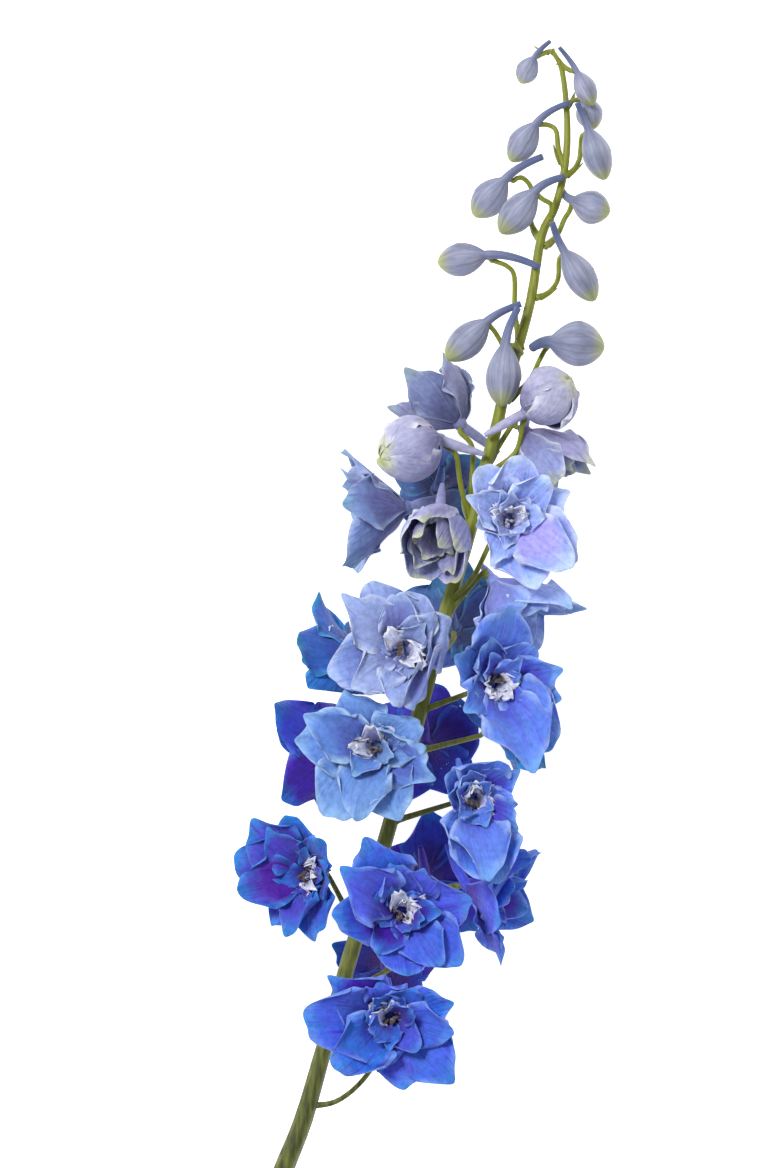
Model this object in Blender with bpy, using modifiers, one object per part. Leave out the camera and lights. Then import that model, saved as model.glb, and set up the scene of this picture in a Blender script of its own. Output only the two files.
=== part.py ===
"""Delphinium flower spike, cut from its plant and laid on its side.

The spike lies on the surface z = 0 with its tip towards +Y. Its lower florets are open, the
ones above them are parting, and buds stand at the tip. Each floret and bud hangs on a pedicel
of the stem. Lengths are millimetres until a mesh is written.
"""

import math
import random
from collections import namedtuple

import bmesh
import bpy
from mathutils import Vector

MM = 0.001
# Petals are sheets this thick, with this much room between neighbours.
SHEET = 0.7
ROOM = 0.3
FLOOR = SHEET / 2

Bud = namedtuple("Bud", "spur neck tip radius stalk")
Bloom = namedtuple(
    "Bloom", "base facing length opening turn inner tone spur stalk petals", defaults=(None, None, None)
)

# The stem's middle line with its radius, from the cut end to the tip.
STEM = [
    (-46.2, -175.2, 31.0, 3.1),
    (-42.0, -163.2, 31.0, 3.0),
    (-36.3, -148.8, 31.0, 2.8),
    (-30.2, -127.8, 31.0, 2.5),
    (-22.5, -100.8, 31.0, 2.4),
    (-10.8, -61.8, 31.0, 2.3),
    (-3.6, -34.8, 31.0, 2.3),
    (1.2, -16.8, 30.5, 2.2),
    (6.6, 3.6, 30.0, 2.2),
    (13.8, 28.2, 28.5, 2.0),
    (17.4, 43.2, 27.5, 1.9),
    (21.9, 59.7, 26.0, 1.8),
    (23.6, 67.2, 25.2, 1.75),
    (27.4, 80.1, 24.0, 1.6),
    (32.1, 97.2, 21.0, 1.45),
    (35.4, 116.7, 18.5, 1.3),
    (39.6, 125.7, 17.5, 1.2),
    (42.6, 138.3, 16.0, 1.1),
    (43.2, 152.1, 15.0, 0.95),
    (41.7, 166.8, 14.0, 0.8),
    (39.0, 172.5, 13.5, 0.7),
]

# A bud runs from the end of its spur through the neck, where it hangs, to its tip. The stalk
# starts on the stem and ends at the neck.
BUDS = [
    Bud(
        (38.1, 175.6, 15.5),
        (33.4, 170.8, 13.0),
        (29.2, 163.2, 11.0),
        3.3,
        [(39.0, 172.5, 13.5), (37.4, 172.6, 12.6)],
    ),
    Bud(
        (40.8, 173.6, 18.0),
        (46.2, 166.2, 16.0),
        (51.0, 156.3, 17.0),
        3.3,
        [(40.6, 169.5, 14.0), (43.2, 167.4, 14.6)],
    ),
    Bud(
        (46.2, 163.4, 8.0),
        (48.6, 158.8, 9.0),
        (51.4, 149.4, 9.0),
        4.0,
        [(42.9, 155.4, 14.8), (44.4, 157.6, 12.4)],
    ),
    Bud(
        (43.8, 156.9, 19.0),
        (33.8, 150.6, 15.0),
        (26.2, 139.5, 13.0),
        4.3,
        [(42.4, 137.5, 16.0), (40.6, 143.0, 15.4), (39.9, 148.6, 15.0), (37.6, 150.4, 14.2)],
    ),
    Bud(
        (46.2, 156.9, 16.8),
        (49.6, 148.9, 14.5),
        (54.7, 134.0, 13.0),
        4.3,
        [(41.8, 134.5, 16.3), (45.6, 137.4, 15.4), (47.4, 142.0, 11.6), (47.6, 146.4, 12.0)],
    ),
    Bud(
        (35.7, 140.7, 17.5),
        (24.4, 133.8, 14.5),
        (15.2, 122.9, 14.0),
        5.0,
        [
            (35.4, 115.2, 18.5), (32.2, 121.5, 14.5), (32.6, 130.6, 13.4), (30.0, 134.4, 13.4),
            (27.4, 134.2, 13.6),
        ],
    ),
    Bud(
        (42.3, 134.6, 20.5),
        (33.2, 129.9, 21.0),
        (23.1, 117.6, 22.0),
        5.0,
        [(38.1, 121.6, 18.0), (38.4, 126.0, 19.3), (35.8, 127.8, 20.0)],
    ),
    Bud(
        (41.6, 131.0, 11.5),
        (45.0, 127.6, 16.5),
        (56.0, 123.8, 17.0),
        5.0,
        [(36.4, 113.6, 18.8), (40.2, 117.2, 15.6), (42.4, 122.0, 15.0), (43.8, 124.2, 15.0)],
    ),
    Bud(
        (38.6, 120.6, 22.3),
        (42.4, 111.9, 18.5),
        (51.4, 97.3, 18.0),
        4.6,
        [(33.6, 98.1, 20.8), (37.6, 99.8, 19.0), (40.4, 103.8, 15.6), (40.8, 109.6, 15.2)],
    ),
    Bud(
        (34.8, 107.2, 24.2),
        (18.4, 110.9, 21.0),
        (4.2, 108.7, 20.0),
        5.0,
        [
            (29.2, 82.4, 23.6), (27.4, 93.6, 19.6), (27.3, 104.2, 19.4), (25.2, 107.6, 19.2),
            (21.4, 109.2, 19.4),
        ],
    ),
    Bud(
        (29.2, 96.2, 24.6),
        (18.8, 90.7, 25.0),
        (6.8, 79.5, 27.5),
        4.9,
        [(26.2, 73.4, 24.6), (24.2, 82.2, 23.0), (21.6, 87.4, 23.4)],
    ),
    Bud(
        (28.2, 94.8, 28.5),
        (24.4, 83.7, 31.0),
        (23.3, 65.2, 34.0),
        5.2,
        [(28.9, 81.4, 24.0), (27.8, 83.4, 28.4)],
    ),
    Bud(
        (32.6, 83.0, 26.6),
        (38.2, 84.8, 22.5),
        (54.3, 83.2, 21.0),
        6.8,
        [(24.8, 66.6, 25.6), (31.4, 72.8, 25.4), (34.8, 79.4, 20.9), (36.2, 82.0, 20.7)],
    ),
]

# A floret's base is its receptacle. Opening runs from 0, a bud that parts, to 1, wide open.
# Turn is how far round its petals start, and inner counts the petals within the outer five.
# A floret that faces the eye has lists for its outer and its inner ring instead: the turn of each
# petal in degrees from its top, and how far it reaches from the middle.
# Tone runs from 0, the pale lilac of the top, to 1, the royal blue of the bottom.
BLOOMS = {
    "bud_14": Bloom(
        (31.0, 63.8, 31.5), (0.75, 0.5, 0.4), 25, -0.02, 0, 2, 0.0, (18.2, 56.6, 31.8),
        [(17.6, 44.0, 27.5), (27.3, 51.3, 27.0), (29.6, 60.0, 29.0)],
    ),
    "bloom_01": Bloom(
        (3.9, 55.2, 33.0), (-0.88, -0.25, 0.4), 26, 0.04, 0, 2, 0.04, (18.0, 50.9, 32.4),
        [(14.2, 30.5, 28.5), (11.0, 41.8, 30.0), (9.6, 50.6, 30.0), (6.2, 53.4, 28.4)],
    ),
    "bloom_02": Bloom((30.6, 57.6, 23.0), (0.6, -0.78, 0.1), 22, 0.42, 18, 3, 0.15),
    "bloom_03": Bloom(
        (10.8, 60.3, 20.0), (-0.6, 0.66, -0.42), 21, 0.45, 0, 3, 0.24, (22.6, 51.4, 20.0),
        [(13.4, 30.0, 28.2), (14.2, 42.0, 25.0), (14.6, 53.0, 22.6)],
    ),
    "bloom_04": Bloom(
        (24.2, 31.0, 40.0), (0.2, 0.05, 0.95), 22, 0.9, -3, 5, 0.3, None,
        [(7.4, 6.6, 30.0), (14.4, 13.6, 34.0), (19.4, 23.6, 37.0)],
        petals=(
            [(-5, 19.5), (36, 19), (200, 20), (243, 22.5), (291, 17)],
            [(64, 15), (104, 11), (158, 14), (222, 20), (318, 15)],
        ),
    ),
    "bloom_05": Bloom((-5.2, 35.0, 17.0), (-0.95, -0.1, -0.05), 24, 0.7, 0, 4, 0.35, (5.0, 38.2, 20.0)),
    "bloom_06": Bloom((4.5, 32.4, 38.0), (-0.05, -0.55, 0.8), 24, 0.45, 0, 4, 0.15, (5.5, 42.0, 33.0)),
    "bloom_07": Bloom((21.0, 12.6, 33.0), (0.58, -0.78, 0.25), 26, 0.6, 20, 4, 0.45, (17.5, 17.5, 27.0)),
    "bloom_08": Bloom((4.2, 40.5, 12.0), (-0.1, 0.25, -0.95), 18, 0.9, 0, 2, 0.4),
    "bloom_09": Bloom((9.3, -1.0, 12.0), (0.1, 0.3, -0.95), 21, 0.9, 0, 2, 0.5),
    "bloom_10": Bloom((-19.0, -8.5, 17.0), (-0.75, -0.2, -0.5), 20.5, 0.95, 0, 3, 0.6),
    "bloom_11": Bloom(
        (-5.4, -8.1, 43.0), (-0.12, 0.05, 0.98), 24, 0.95, 25, 5, 0.45,
        petals=(
            [(20, 22.5), (111, 22.5), (222, 25), (277, 23), (340, 19)],
            [(52, 21), (5, 17), (130, 18.5), (183, 18.5), (285, 18)],
        ),
    ),
    "bloom_12": Bloom(
        (19.0, -17.4, 39.0), (0.38, 0.0, 0.92), 23, 0.85, -30, 5, 0.6,
        petals=(
            [(-3, 22.5), (62, 17), (212, 23), (256, 18.5), (312, 16)],
            [(24, 14), (118, 16), (184, 24), (232, 18), (285, 16)],
        ),
    ),
    "bloom_13": Bloom(
        (-13.5, -36.6, 43.0), (-0.2, 0.0, 0.97), 22, 1.0, 25, 5, 0.55,
        petals=(
            [(21, 19), (88, 22), (152, 24), (203, 22.5), (311, 19)],
            [(60, 20), (167, 20), (183, 14), (246, 20), (276, 17)],
        ),
    ),
    "bloom_14": Bloom((-21.5, -37.5, 18.0), (-0.7, 0.05, -0.5), 25, 0.9, 10, 3, 0.9),
    "bloom_15": Bloom(
        (12.8, -51.6, 41.0), (0.3, -0.12, 0.94), 20, 0.85, 24, 5, 0.65,
        petals=(
            [(-8, 18), (52, 12), (160, 19), (192, 23.5), (302, 14)],
            [(75, 11), (22, 12), (176, 20), (232, 13), (272, 12)],
        ),
    ),
    "bloom_16": Bloom((20.0, -31.5, 18.0), (0.75, 0.1, -0.45), 19, 0.85, 0, 3, 0.75),
    "bloom_17": Bloom((0.5, -36.0, 11.0), (0.05, 0.0, -1.0), 22, 0.95, 0, 3, 0.9),
    "bloom_18": Bloom(
        (-31.4, -74.8, 29.0), (-0.48, -0.05, 0.77), 22, 0.9, -4, 5, 0.85, (-31.5, -66.0, 20.0),
        petals=(
            [(10, 18.5), (46, 21.5), (77, 21.8), (142, 17), (198, 19)],
            [(30, 16), (104, 19), (172, 17), (258, 15), (318, 16)],
        ),
    ),
    "bloom_19": Bloom(
        (-7.2, -85.5, 43.0), (0.08, -0.05, 0.98), 23, 0.95, 22, 5, 0.9,
        petals=(
            [(25, 24), (86, 20.5), (186, 21), (228, 23), (285, 20.5)],
            [(50, 22.5), (4, 17), (150, 14), (207, 18), (330, 17)],
        ),
    ),
    "bloom_20": Bloom((13.5, -78.5, 27.0), (0.85, -0.25, 0.25), 23, 0.75, 36, 4, 0.95),
    "bloom_21": Bloom(
        (-10.2, -117.0, 43.0), (0.05, -0.08, 0.97), 24, 0.95, -20, 5, 1.0, None,
        [(-35.4, -144.6, 31.0), (-26.5, -143.2, 31.6), (-18.5, -136.8, 34.0), (-12.5, -127.0, 38.5)],
        petals=(
            [(50, 22.5), (86, 27), (194, 20), (230, 24), (290, 18)],
            [(12, 16), (-26, 14), (124, 22.5), (165, 15), (264, 18)],
        ),
    ),
    "bloom_22": Bloom((1.0, -77.0, 12.0), (0.2, 0.0, -0.97), 20, 0.95, 0, 2, 0.95),
    "bloom_23": Bloom((-11.0, -103.0, 11.5), (0.0, -0.1, -0.99), 18, 0.9, 0, 2, 1.0),
}

# Pairs that the eye sees one over the other: the first floret's petals lie over the second's.
OVERLAPS = [
    ("bloom_01", "bloom_05"), ("bloom_04", "bloom_07"), ("bloom_06", "bloom_05"), ("bloom_04", "bloom_06"),
    ("bloom_12", "bloom_07"), ("bloom_12", "bloom_11"), ("bloom_11", "bloom_13"), ("bloom_13", "bloom_15"),
    ("bloom_12", "bloom_15"), ("bloom_15", "bloom_19"), ("bloom_15", "bloom_20"), ("bloom_19", "bloom_18"),
    ("bloom_19", "bloom_20"), ("bloom_19", "bloom_21"),
]
# How far the plane between two such florets leans, so that one slides over the other.
OVERLAP_TILT = 0.8
# The middle of a floret lies this far in front of its base, and its neighbours reach this many
# petal lengths.
HEART = 8.0
REACH = 1.9
# Petals bend away from what they meet over about this length.
SOFTNESS = 1.0
STEM_CLEAR = 3.2
BUD_CLEAR = 1.2
STALK_RADIUS = 0.8
# The disc that petals grow from, and how far the inner petals stay above the outer ones.
RING = 1.9
INNER_LAYER = 1.7
# Faces that turn by less than this many degrees are one face.
FLAT = 3.0


def soft(x):
    """Zero well below zero, x well above it, and a smooth bend between."""
    if x > 20 * SOFTNESS:
        return x
    return SOFTNESS * math.log1p(math.exp(x / SOFTNESS))


def heart(bloom):
    return Vector(bloom.base) + Vector(bloom.facing).normalized() * HEART


def walls_of(name):
    """The planes, as a point and a normal outwards, that a floret's neighbours press it behind."""
    walls = []
    here = heart(BLOOMS[name])
    for other, bloom in BLOOMS.items():
        there = heart(bloom)
        gap = there - here
        if other == name or gap.length > REACH * (bloom.length + BLOOMS[name].length) / 2:
            continue
        share = BLOOMS[name].length / (bloom.length + BLOOMS[name].length)
        normal = gap.normalized()
        if (name, other) in OVERLAPS:
            normal.z -= OVERLAP_TILT
        if (other, name) in OVERLAPS:
            normal.z += OVERLAP_TILT
        walls.append((here + gap * share, normal.normalized()))
    return walls


def nearest_on(path, p):
    """The nearest point to p on a line through path, with the radius there."""
    best = None
    for (ax, ay, az, ar), (bx, by, bz, br) in zip(path, path[1:]):
        a, run = Vector((ax, ay, az)), Vector((bx - ax, by - ay, bz - az))
        t = min(max((p - a).dot(run) / run.length_squared, 0), 1)
        q = a + run * t
        if best is None or (p - q).length < best[0]:
            best = ((p - q).length, q, ar + (br - ar) * t)
    return best


def push_off(p, path, clear):
    """Move p away from a line of round section until it is clear of it."""
    far, q, radius = nearest_on(path, p)
    return p + (p - q) / max(far, 0.01) * soft(radius + clear - far)


def press(p, walls, layer=0.0):
    """Move a point of a petal to where the neighbours, the stem, the buds and the floor leave it.

    An inner layer of petals stays that much further in than the outer one."""
    for _ in range(3):
        for point, normal in walls:
            p = p - normal * soft((p - point).dot(normal) + SHEET / 2 + ROOM + layer)
        for path, clear in OBSTACLES:
            p = push_off(p, path, clear + layer)
    p.z = max(p.z, FLOOR)
    return p


def petal_line(s, lean, flare, length):
    """How far out and how high a petal's middle line is at the share s of its length, and its slope."""
    steps = 12
    out = high = 0.0
    for i in range(steps):
        angle = math.radians(lean + (flare - lean) * s * (i + 0.5) / steps)
        out += math.sin(angle) * length * s / steps
        high += math.cos(angle) * length * s / steps
    return out, high, math.radians(lean + (flare - lean) * s)


def whorls(bloom):
    """A floret's outer and inner ring: lean, flare, layer, and the turn and reach of each petal."""
    lean, flare = 85 - 55 * bloom.opening, -85 + 180 * bloom.opening
    rings = [(lean, flare, 0.0), (lean * 0.75, flare * 0.9, INNER_LAYER)]
    if bloom.petals:
        plans = [[(math.radians(turn), reach) for turn, reach in plan] for plan in bloom.petals]
        return [(*ring, plan) for ring, plan in zip(rings, plans)]
    start = math.radians(bloom.turn)
    counts = 5, bloom.inner
    lengths = bloom.length, bloom.length * 0.82
    starts = start, start + math.pi / 5
    found = []
    for (lean, flare, layer), count, length, start in zip(rings, counts, lengths, starts):
        reach = RING + petal_line(1.0, lean, flare, length)[0]
        found.append((lean, flare, layer, [(start + math.tau * k / count, reach) for k in range(count)]))
    return found


def petal_point(s, v, flower, turn, length, width, lean, flare, layer, wrap, twist, wave):
    """A point of a petal at the share s along it and v across it, from -1 to 1."""
    base, facing, up, side = flower
    # The end of the blade is rounded and comes to a small point.
    brink = 0.36 * abs(v) ** 2.6 - 0.03 * math.exp(-((v / 0.17) ** 2))
    t = s * (1 - brink * s)
    blade = math.sin(math.pi / 2 * min(s / 0.74, 1)) ** 1.35 * (1 - 0.16 * (max(s - 0.74, 0) / 0.26) ** 2)
    half = width / 2 * (0.16 + 0.84 * blade)
    out, high, slope = petal_line(t, lean, flare, length)
    lift = half * (v * twist + v * v * (0.11 + 0.1 * math.sin(wave + 5 * s)) + 0.1 * abs(v) * (1 - 0.5 * s))
    outward = up * math.cos(turn) + side * math.sin(turn)
    across = facing.cross(outward)
    # A petal of a closed floret is bent round the middle.
    far = out + RING
    bent = min(max(v * half / max(far, 2.5), -1.15), 1.15)
    over = far * (1 - wrap + wrap * math.cos(bent))
    aside = v * half * (1 - wrap) + wrap * far * math.sin(bent)
    p = base + facing * (layer + high) + outward * over + across * aside
    return p + (facing * math.sin(slope) - outward * math.cos(slope)) * lift


def whorl(flower, bloom, ring, narrow, rng, walls):
    """A ring of petals in one sheet, grown together round a small disc, as a thickened object."""
    lean, flare, layer, plan = ring
    base, facing, up, side = flower
    centre = base + facing * layer
    wrap = min(max(1.15 - 1.6 * bloom.opening, 0), 1)
    unit = petal_line(1.0, lean, flare, 1.0)[0]
    petals = []
    for turn, reach in plan:
        length = (reach - RING) / unit * rng.uniform(0.95, 1.05)
        petals.append((turn, length, rng.uniform(-0.1, 0.1), rng.uniform(0.06, 0.14), rng.uniform(0, math.tau)))
    petals.sort()

    def on_disc(angle):
        return (centre + (up * math.cos(angle) + side * math.sin(angle)) * RING) * MM

    # The disc has a corner at the middle of each petal's root and one between each two petals.
    turns = [p[0] for p in petals]
    after = [(a + b) / 2 for a, b in zip(turns, turns[1:] + [turns[0] + math.tau])]
    before = [after[-1] - math.tau] + after[:-1]
    bm = bmesh.new()
    disc = bmesh.ops.create_circle(bm, cap_ends=True, segments=2 * len(plan), radius=RING)["verts"]
    for vert, angle in zip(disc, [angle for pair in zip(turns, after) for angle in pair]):
        vert.co = on_disc(angle)
    for (turn, length, sway, twist, wave), low, high in zip(petals, before, after):
        width = length * (0.72 + 0.14 * bloom.opening) * narrow
        known = set(bm.verts)
        bmesh.ops.create_grid(bm, x_segments=2, y_segments=2, size=1)
        for vert in set(bm.verts) - known:
            s, v = (vert.co.x + 1) / 2, vert.co.y
            if s < 0.01:
                vert.co = on_disc(turn + v * (high - turn if v > 0 else turn - low))
                continue
            p = petal_point(s, v, flower, turn + sway, length, width, lean, flare, layer, wrap, twist, wave)
            vert.co = press(p, walls, layer) * MM
    bmesh.ops.remove_doubles(bm, verts=bm.verts, dist=1e-6)
    bmesh.ops.triangulate(bm, faces=bm.faces)
    bmesh.ops.recalc_face_normals(bm, faces=bm.faces)
    sheet = mesh_object("whorl", bm)
    thick = sheet.modifiers.new("thickness", "SOLIDIFY")
    thick.thickness = SHEET * MM
    thick.offset = 0
    return sheet


def mesh_object(name, bm):
    mesh = bpy.data.meshes.new(name)
    bm.to_mesh(mesh)
    bm.free()
    thing = bpy.data.objects.new(name, mesh)
    bench.objects.link(thing)
    return thing


def tube(name, points, radii, sides):
    """A tube through points, with a radius at each and flat caps, as a mesh object."""
    curve = bpy.data.curves.new(name, "CURVE")
    curve.dimensions = "3D"
    curve.bevel_depth = MM
    curve.bevel_resolution = sides // 2 - 2
    curve.use_fill_caps = True
    line = curve.splines.new("POLY")
    line.points.add(len(points) - 1)
    for spot, p, r in zip(line.points, points, radii):
        spot.co = (*(Vector(p) * MM), 1)
        spot.radius = r
    route = bpy.data.objects.new(name, curve)
    bench.objects.link(route)
    skin = bpy.data.meshes.new_from_object(route.evaluated_get(bpy.context.evaluated_depsgraph_get()))
    bm = bmesh.new()
    bm.from_mesh(skin)
    bmesh.ops.remove_doubles(bm, verts=bm.verts, dist=1e-7)
    bmesh.ops.triangulate(bm, faces=bm.faces)
    bpy.data.objects.remove(route)
    return mesh_object(name, bm)


def bend(points, steps):
    """A smooth curve through points, with steps pieces between each two."""
    points = [Vector(p) for p in points]
    ends = [points[0] * 2 - points[1]] + points + [points[-1] * 2 - points[-2]]
    line = []
    for a, b, c, d in zip(ends, ends[1:], ends[2:], ends[3:]):
        for i in range(steps):
            t = i / steps
            squared = (a * 2 - b * 5 + c * 4 - d) * t**2
            cubed = (b * 3 - a - c * 3 + d) * t**3
            line.append((b * 2 + (c - a) * t + squared + cubed) / 2)
    return line + [points[-1]]


def join(name, pieces, material):
    """Unite pieces in one body, drop what is shut up inside it, and flatten what lies on the floor."""
    body, others = pieces[0], pieces[1:]
    group = bpy.data.collections.new(name + "_pieces")
    bpy.context.scene.collection.children.link(group)
    for piece in others:
        bench.objects.unlink(piece)
        group.objects.link(piece)
    if others:
        union = body.modifiers.new("union", "BOOLEAN")
        union.operation = "UNION"
        union.operand_type = "COLLECTION"
        union.use_self = True
        union.collection = group
    bm = bmesh.new()
    bm.from_object(body, bpy.context.evaluated_depsgraph_get())
    bmesh.ops.triangulate(bm, faces=bm.faces)
    keep_outer_skin(bm)
    bmesh.ops.dissolve_limit(bm, angle_limit=math.radians(FLAT), verts=bm.verts, edges=bm.edges)
    bmesh.ops.triangulate(bm, faces=bm.faces)
    for vert in bm.verts:
        if vert.co.z < 0.1 * MM:
            vert.co.z = 0
    mesh = bpy.data.meshes.new(name)
    bm.to_mesh(mesh)
    bm.free()
    mesh.materials.append(material)
    whole = bpy.data.objects.new(name, mesh)
    parts.objects.link(whole)
    for piece in pieces:
        bpy.data.objects.remove(piece)
    bpy.data.collections.remove(group)
    return whole


def keep_outer_skin(bm):
    """Weld what nearly meets, then delete every closed skin but the one with most faces."""
    bmesh.ops.remove_doubles(bm, verts=bm.verts, dist=0.001 * MM)
    left = set(bm.faces)
    skins = []
    while left:
        seed = left.pop()
        skin, front = {seed}, [seed]
        while front:
            for edge in front.pop().edges:
                if len(edge.link_faces) != 2:
                    continue
                for face in edge.link_faces:
                    if face in left:
                        left.remove(face)
                        skin.add(face)
                        front.append(face)
        skins.append(skin)
    largest = max(skins, key=len)
    scraps = [face for skin in skins if skin is not largest for face in skin]
    bmesh.ops.delete(bm, geom=scraps, context="FACES")


def finish(name, colour, roughness):
    material = bpy.data.materials.new(name)
    material.use_nodes = True
    shader = material.node_tree.nodes["Principled BSDF"]
    shader.inputs["Base Color"].default_value = (*colour, 1)
    shader.inputs["Roughness"].default_value = roughness
    shader.inputs["Metallic"].default_value = 0
    return material


def mix(a, b, t):
    return tuple(x + (y - x) * t for x, y in zip(a, b))


def bud_path(bud):
    """The line that a bud follows from its spur's end to its tip, with its radius at each point."""
    spur, neck, tip = Vector(bud.spur), Vector(bud.neck), Vector(bud.tip)
    knee = neck - (tip - neck).normalized() * (neck - spur).length * 0.4
    path = []
    for i in range(2):
        s = i / 2
        p = spur * (1 - s) ** 2 + knee * 2 * s * (1 - s) + neck * s * s
        path.append((*p, bud.radius * (0.2 + 0.09 * s)))
    rings = 4
    for i in range(rings + 1):
        s = i / rings
        path.append((*neck.lerp(tip, s), bud.radius * math.sin(math.pi * (0.04 + 0.94 * s**1.1)) ** 0.6))
    return path


def make_bud(number, path):
    """A bud: sepals closed over one another on a tapering spur, all one turned form along a line."""
    skin = tube("skin", [p[:3] for p in path], [p[3] for p in path], 8)
    name = f"bud_{number:02d}"
    colour = mix((0.33, 0.31, 0.50), (0.42, 0.44, 0.62), number / 13)
    return join(name, [skin], finish(name + "_sepals", colour, 0.55))


def frame_of(bloom):
    """A floret's base, the way it faces, and its top and side across that way."""
    facing = Vector(bloom.facing).normalized()
    side = facing.cross(Vector((0.0, 1.0, 0.0))).normalized()
    return Vector(bloom.base), facing, side.cross(facing), side


def spur_line(bloom):
    """The line of a spur from inside the receptacle back to its end."""
    base, facing, up, side = frame_of(bloom)
    if bloom.spur:
        end = Vector(bloom.spur)
        middle = base.lerp(end, 0.45)
    else:
        end = push_off(base - facing * 10 + up * 10, STEM, STEM_CLEAR)
        middle = base - facing * 5 + up * 4
    return [base - facing * 0.8, middle, middle.lerp(end, 0.6), end]


def make_bloom(name, bloom, number):
    """A floret: sepals, inner petals and spur on one receptacle, and the bee in its middle."""
    rng = random.Random(number)
    walls = walls_of(name)
    flower = base, facing, up, side = frame_of(bloom)
    outer, inner = whorls(bloom)
    pieces = [
        tube("receptacle", [base - facing * 2.4, base - facing, base + facing * 2.6], [1.2, 1.8, 1.2], 4),
        whorl(flower, bloom, outer, 1.0, rng, walls),
        whorl(flower, bloom, inner, 0.85, rng, walls),
    ]
    pieces.append(tube("spur", spur_line(bloom), [1.4, 1.6, 1.2, 0.8], 4))
    blue = mix((0.40, 0.45, 0.75), (0.06, 0.12, 0.66), bloom.tone)
    join(name, pieces, finish(name + "_petals", blue, 0.5))
    if bloom.opening > 0.45:
        make_bee(name + "_bee", flower)


def make_bee(name, flower):
    """The small pale petals and stamens in a floret's throat: a crown of lobes on one foot."""
    base, facing, up, side = flower
    lobes, height, lift = 4, 5.0, 5.5
    bm = bmesh.new()
    bmesh.ops.create_cone(
        bm, cap_ends=True, cap_tris=True, segments=2 * lobes, radius1=1.1, radius2=2.7, depth=height
    )
    for vert in bm.verts:
        x, y, z = vert.co
        turn, out = math.atan2(y, x), math.hypot(x, y)
        if z > 0:
            lobe = math.cos(lobes * turn)
            out *= 1 + 0.2 * lobe
            z = z + 1.2 * lobe if out > 0.1 else z - 2.0
        p = base + facing * (z + lift) + (up * math.cos(turn) + side * math.sin(turn)) * out
        vert.co = p * MM
    join(name, [mesh_object("crown", bm)], finish(name + "_lobes", (0.78, 0.76, 0.86), 0.5))


def stalk_of(bloom):
    """A pedicel's points from the stem up to a floret's receptacle, short of it by a gap."""
    base = Vector(bloom.base)
    facing = Vector(bloom.facing).normalized()
    if bloom.stalk:
        points = [Vector(p) for p in bloom.stalk]
    else:
        below = base.copy()
        below.y -= 14
        neck = base - facing * 6
        neck.y -= 2
        points = [nearest_on(STEM, below)[1], neck]
    hub = base - facing * 1.6
    tail = (spur_line(bloom)[1] - hub).normalized()
    aside = points[-1] - hub
    aside -= tail * aside.dot(tail)
    foot = hub + aside.normalized() * (1.8 + 2 * ROOM)
    return [*points, foot]


def make_stem():
    """The stem with every pedicel."""
    green = finish("stem_green", (0.16, 0.24, 0.03), 0.5)
    pieces = [tube("axis", [p[:3] for p in STEM], [p[3] for p in STEM], 8)]
    stalks = [[*map(Vector, bud.stalk), neck_side(bud)] for bud in BUDS]
    stalks += [stalk_of(bloom) for bloom in BLOOMS.values()]
    for stalk in stalks:
        line = bend(stalk, 2 if len(stalk) < 4 else 1)
        for path in BUD_PATHS:
            line[1:-1] = [clear_of(p, path, STALK_RADIUS + ROOM) for p in line[1:-1]]
            line[-1] = clear_of(line[-1], path, 2 * ROOM)
        pieces.append(tube("stalk", line, [STALK_RADIUS] * len(line), 4))
    return join("stem", pieces, green)


def neck_side(bud):
    """Where a pedicel ends, just short of the skin of its bud's neck."""
    neck, last = Vector(bud.neck), Vector(bud.stalk[-1])
    return neck + (last - neck).normalized() * (bud.radius * 0.3 + 2 * ROOM)


def clear_of(p, path, clear):
    """Move p straight out from a line of round section, only if it is nearer than clear."""
    far, q, radius = nearest_on(path, p)
    return p if far >= radius + clear else q + (p - q) / max(far, 0.01) * (radius + clear)


BUD_PATHS = [bud_path(bud) for bud in BUDS]
OBSTACLES = [(STEM, STEM_CLEAR)] + [(path, BUD_CLEAR) for path in BUD_PATHS[9:]]

for old in list(bpy.data.objects):
    bpy.data.objects.remove(old)
parts = bpy.data.collections.new("delphinium_spike")
bench = bpy.data.collections.new("bench")
bpy.context.scene.collection.children.link(parts)
bpy.context.scene.collection.children.link(bench)

make_stem()
for number, path in enumerate(BUD_PATHS, start=1):
    make_bud(number, path)
for number, (name, bloom) in enumerate(BLOOMS.items()):
    make_bloom(name, bloom, number)
bpy.data.collections.remove(bench)
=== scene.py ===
"""Delphinium flower spike: the looks of its stem, buds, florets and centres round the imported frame.

Lengths are millimetres until a mesh is written. The spike lies along +Y on the surface z = 0, and
the camera looks straight down on it.
"""

import math
import random
from collections import namedtuple

import bmesh
import bpy
import numpy as np
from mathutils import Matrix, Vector


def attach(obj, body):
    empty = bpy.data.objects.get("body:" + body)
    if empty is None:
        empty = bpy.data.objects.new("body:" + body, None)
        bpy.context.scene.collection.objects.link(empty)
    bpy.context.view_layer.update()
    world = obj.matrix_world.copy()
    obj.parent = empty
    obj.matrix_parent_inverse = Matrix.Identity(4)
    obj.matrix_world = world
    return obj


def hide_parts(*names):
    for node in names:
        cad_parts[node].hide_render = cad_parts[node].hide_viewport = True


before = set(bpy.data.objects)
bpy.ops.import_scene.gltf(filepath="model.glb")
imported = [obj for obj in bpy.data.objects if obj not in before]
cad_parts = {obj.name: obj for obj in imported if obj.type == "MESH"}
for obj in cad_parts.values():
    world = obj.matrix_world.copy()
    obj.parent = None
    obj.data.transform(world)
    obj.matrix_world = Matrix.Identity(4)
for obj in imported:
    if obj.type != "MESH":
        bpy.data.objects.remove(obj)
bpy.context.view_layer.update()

# Stem. The green axis of the spike and the stalks of its buds and florets grew as one piece,
# ribbed and downy, olive where it is young and darker towards the cut end. A thin bract stands
# under each stalk. The tables say where the stem runs and what hangs on it.
MM = 0.001
STALK_RADIUS = 0.8
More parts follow.
